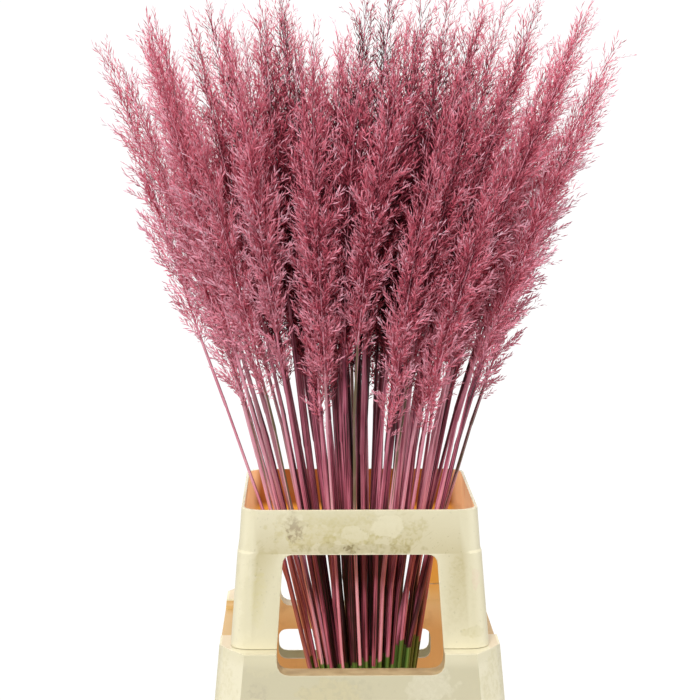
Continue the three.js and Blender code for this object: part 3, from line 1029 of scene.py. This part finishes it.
# %% Grow the plume
PLUME_SPRAYS = 156
CLOSEST_SPRAYS = 0.45
SPRAY_STRAYS = 0.7
SPRAY_FOOT = 8 * MM
PLUME_REACH = 26 * MM
REACH_VARIES = (0.6, 1.1)
SPRAY_LEAN = (math.radians(14), math.radians(50))
TIP_LEAN = (math.radians(5), math.radians(32))
OPEN_FROM = 0.44
LONGEST_SPRAY = 48 * MM
PAST_TIP = 15 * MM
WISP_SHARE = 0.26
WISPS_FROM = 0.1
WISP_LEAN = (math.radians(22), math.radians(46))
WISP_SIZE = (0.65, 1.0)


def plume_shape(along):
    """How far the sprays stand out along a plume, from its base at 0 to its tip at 1."""
    return math.sin(math.pi * (0.19 + 0.75 * along)) ** 0.9


def spray_place(step):
    """Where a spray grows along a plume: sparsely below its base and at its tip, and closely between them."""
    least = CLOSEST_SPRAYS ** 5
    bunched = ((step - CLOSEST_SPRAYS) ** 5 + least) / ((1 - CLOSEST_SPRAYS) ** 5 + least)
    return -0.08 + 1.05 * (0.78 * step + 0.22 * bunched)


def one_spray(kind):
    return sprays[kind][int(draw(0, SPRAYS_OF_EACH - 0.001))]


def spray_for(length, along):
    """A modelled spray for a place on a plume, near to a length, and how much to size it."""
    if along > OPEN_FROM + draw(-0.12, 0.12):
        kinds = ("loose", "tip")
    else:
        kinds = ("long", "medium", "short")
    kind = min(kinds, key=lambda known: abs(SPRAY_KINDS[known][0] - length))
    return one_spray(kind), length / SPRAY_KINDS[kind][0]


def wisp_at(along, edge):
    """A wisp, its size and its lean. Wisps are longer low on a plume and inside the bunch."""
    lean = draw(*WISP_LEAN)
    size = draw(*WISP_SIZE) * (1.1 - 0.45 * along) * (1.35 - 0.52 * edge)
    return one_spray("wisp"), size, lean


def spray_at(along, height):
    """A spray that reaches the plume's outline at a place, its size and its lean."""
    shape = plume_shape(along)
    open_share = max(0, (along - OPEN_FROM) / (1 - OPEN_FROM))
    least, most = (wide + (slim - wide) * open_share for wide, slim in zip(SPRAY_LEAN, TIP_LEAN))
    lean = draw(least, most)
    reach = PLUME_REACH * shape * draw(*REACH_VARIES)
    room = (1 - along) * height + PAST_TIP
    length = min(reach / math.sin(lean), LONGEST_SPRAY * (0.55 + 0.45 * shape), room)
    return *spray_for(length, along), lean


def add_plume(bm, stem):
    """Sets copies of the sprays round a stem, in a spiral from the plume's base to its tip."""
    base, height = stem["base"] * MM, (stem["tip"] - stem["base"]) * MM
    for i in range(PLUME_SPRAYS):
        along = spray_place((i + 0.5) / PLUME_SPRAYS)
        if along > WISPS_FROM and draw() < WISP_SHARE:
            spray, size, lean = wisp_at(along, stem["edge"])
        else:
            spray, size, lean = spray_at(along, height)
        placed = spray.copy()
        place = Matrix.Translation((0, 0, base + along * height - SPRAY_FOOT))
        place = place @ Matrix.Rotation(i * GOLDEN + draw(-SPRAY_STRAYS, SPRAY_STRAYS), 4, "Z")
        place = place @ Matrix.Rotation(lean, 4, "Y") @ Matrix.Rotation(draw(0, math.tau), 4, "Z")
        placed.transform(place @ Matrix.Scale(size, 4))
        bm.from_mesh(placed)
        bpy.data.meshes.remove(placed)


# %% [markdown]
# ### Bend and sway
#
# Each stem gets two slight bows of its own, which fade towards its ends, so that it still stands where its
# solid does. The tips nod a little to the right, except on the left of the fan, where they lean outwards.

# %% Bend along the fan
# How far a stem sways, in millimetres, and how many half waves its two bows have.
SWAY = {"wide": 10, "deep": 6, "waves": (1.0, 2.3)}
TIPS_LEAN = 8
# Where the left tips are and how far round that, as shares of the radius, and how far they lean out.
LEFT_TIPS = {"at": -0.7, "reach": 0.25, "lean": 20}
LOOK_AHEAD = 4
# How far the pattern of grooves moves on from stem to stem, in metres.
PATTERN_STEP = 0.1


def swayed_axis(stem, sway, z):
    """The stem's middle with its own two bows and the lean of its tip, in millimetres."""
    along = z / stem["tip"]
    bows = [math.sin(math.pi * along * waves) * math.sin(math.pi * along) for waves in SWAY["waves"]]
    bowed = (sway[0] * bows[0] + sway[1] * bows[1]) * along
    left = max(0, 1 - abs(stem["site"][0] / BUNCH_RADIUS - LEFT_TIPS["at"]) / LEFT_TIPS["reach"])
    lean = Vector((TIPS_LEAN - LEFT_TIPS["lean"] * left, 0, 0))
    return axis_at(stem["site"], z) + bowed + lean * along ** 3


def bend(bm, stem, number):
    """Bends what was grown straight along the stem's curve, and keeps where it was."""
    straight = bm.verts.layers.float_vector["straight"]
    wide, deep = SWAY["wide"], SWAY["deep"]
    sway = [Vector((draw(-wide, wide), draw(-deep, deep), 0)) for _ in SWAY["waves"]]
    for vert in bm.verts:
        height = vert.co.z / MM
        vert[straight] = vert.co + Vector((number * PATTERN_STEP, 0, 0))
        centre = swayed_axis(stem, sway, height)
        ahead = (swayed_axis(stem, sway, height + LOOK_AHEAD) - centre).normalized()
        across = (Vector((1, 0, 0)) - ahead * ahead.x).normalized()
        aside = ahead.cross(across)
        vert.co = centre * MM + across * vert.co.x + aside * vert.co.y


# %% [markdown]
# ### Shade by depth
#
# A plume is pale only where light reaches it: at its outline, at its tip and on the outside of the bunch.
# Light alone makes too little of that here, because these husks are fewer than the real ones. So a husk's
# tint also rises from the plume's stem outwards, and falls with how deep in the bunch it is buried.

# %% Shade the husks
# Painted light and painted shade in the husks' tint: paler at the outline, the tip, the foot and the fan's
# sides, darker in the fan's middle and where buried in the bunch.
OUTLINE_PALER = 0.6
TIP_PALER = 0.2
FOOT_PALER = 0.44
SIDES_PALER = {"by": 0.3, "from": 0.55}
BURIED_DARKER = 1.3
ALL_DARKER = 0.05
PALEST = {"foot": 0.76, "more_at_tip": 0.36}


def shade_strength(along):
    """How much of the bunch's shade a place on a plume gets: most at a quarter, none at the tip."""
    return 0.75 + 0.75 * along - 1.5 * along ** 2


def shade_husks(verts, layer, stem, tone):
    """Pales a plume's husks from its shaded middle out, from the bunch's inside out, and from its foot up."""
    base, tip = stem["base"] * MM, stem["tip"] * MM
    middle = (stem["base"] + stem["tip"]) / 2
    bunch = (axis_at((BUNCH_RADIUS, 0), middle) - axis_at((0, 0), middle)).length
    for vert in verts:
        outwards = min(1, math.hypot(vert.co.x, vert.co.y) / PLUME_REACH)
        along = (vert.co.z - base) / (tip - base)
        across = stem["site"][0] / BUNCH_RADIUS + vert.co.x / MM / bunch
        deep = stem["site"][1] / BUNCH_RADIUS + vert.co.y / MM / bunch
        buried = 1 - min(1, math.hypot(across, deep))
        paler = OUTLINE_PALER * outwards + TIP_PALER * along + FOOT_PALER * (1 - along) ** 3
        aside = SIDES_PALER["by"] * (min(1, abs(across)) - SIDES_PALER["from"])
        shaded = tone - ALL_DARKER + aside - BURIED_DARKER * buried
        palest = PALEST["foot"] + PALEST["more_at_tip"] * along
        vert[layer] = min(palest, vert[layer] + paler + shaded * shade_strength(along))


# %% [markdown]
# ### All the stems
#
# Two neighbouring stems share one solid in the frame, so they share one piece here. Stems are shaded smooth,
# to look round, and husks flat, because their folds are crisp.

# %% Plant every pair
STEM_TONE = (0.2, 1.05)
# Painted shade: a stem's tint keeps the first share in the bunch's middle and gains the second towards its
# edge.
STEM_SHADE_BY_EDGE = (0.3, 0.8)
PLUME_TONE = 0.07
# How much the outermost stems on the left rise, from and over which share of the radius.
LEFT_RISE = {"from": 0.78, "reach": 0.22, "rise": 12}


def plumed_stem(stem, number):
    """One stem with its plume, grown straight, shaded and bent."""
    at_left = max(0, (-stem["site"][0] / BUNCH_RADIUS - LEFT_RISE["from"]) / LEFT_RISE["reach"])
    stem = {**stem, "tip": stem["tip"] + LEFT_RISE["rise"] * at_left}
    bm = bmesh.new()
    bm.verts.layers.float.new("tint")
    bm.verts.layers.float_vector.new("straight")
    # The tint is painted darker towards the bunch's middle, as painted shade.
    inside, more_outside = STEM_SHADE_BY_EDGE
    add_stem(bm, stem, draw(*STEM_TONE) * (inside + more_outside * stem["edge"]))
    stem_faces = len(bm.faces)
    stem_verts = len(bm.verts)
    add_plume(bm, stem)
    bm.verts.ensure_lookup_table()
    tone = draw(-PLUME_TONE, PLUME_TONE)
    shade_husks(bm.verts[stem_verts:], bm.verts.layers.float["tint"], stem, tone)
    for i, face in enumerate(bm.faces):
        face.material_index = 0 if i < stem_faces else 1
        face.smooth = i < stem_faces
    bend(bm, stem, number)
    return bm


def grass_pair(pair):
    """The piece that stands for one solid of the grass."""
    name = f"grass_{pair + 1:02d}"
    both = bmesh.new()
    for number in (2 * pair, 2 * pair + 1):
        bm = plumed_stem(stems[number], number)
        mesh = bpy.data.meshes.new("one_stem")
        bm.to_mesh(mesh)
        bm.free()
        both.from_mesh(mesh)
        bpy.data.meshes.remove(mesh)
    piece = as_piece(both, f"plumed_{name}", [stem_skin, husk])
    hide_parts(name)
    return len(piece.data.polygons)


faces = [grass_pair(pair) for pair in range(PAIRS)]
print("faces of the grass:", sum(faces), "most in a piece:", max(faces))
